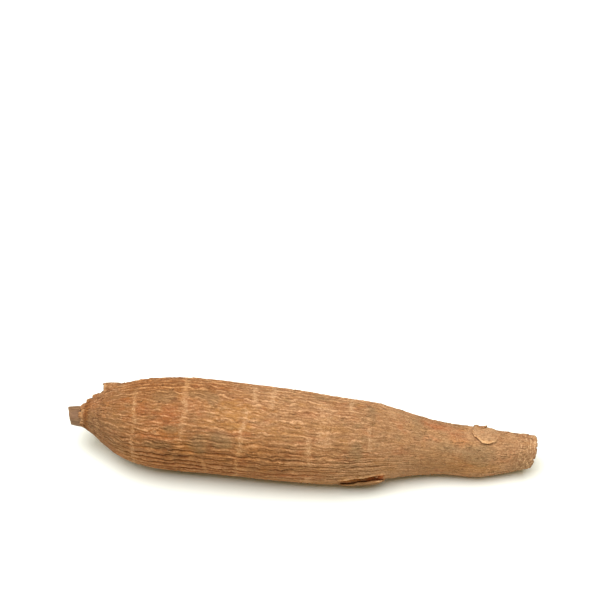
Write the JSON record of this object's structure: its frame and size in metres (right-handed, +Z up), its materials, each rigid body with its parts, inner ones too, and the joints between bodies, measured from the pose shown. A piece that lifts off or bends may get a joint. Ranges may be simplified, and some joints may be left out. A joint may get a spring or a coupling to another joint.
{
  "type": "cassava root",
  "caption": "Spindle-shaped cassava root with fissured brown bark, a cut neck at one end and a short bare woody stub at the other, lying on its side.",
  "frame": {"origin": "on the surface the root lies on, under the middle of its bounding box", "axes": "+X along the root from the tail to the cut neck, +Z up from the surface it lies on, the split under the belly faces -Y"},
  "size_m": [0.3036, 0.0632, 0.06],
  "materials": {
    "bark": "dry flaking root bark, matte, fissured along the root",
    "stub": "bare woody core, smooth, dull grey-brown",
    "flesh": "cut face, dried starchy flesh, matte",
    "inner_bark": "moist inner bark in the split, red-brown, dull"
  },
  "bodies": {
    "root": {"cassava_root": "bark"}
  },
  "joints": []
}
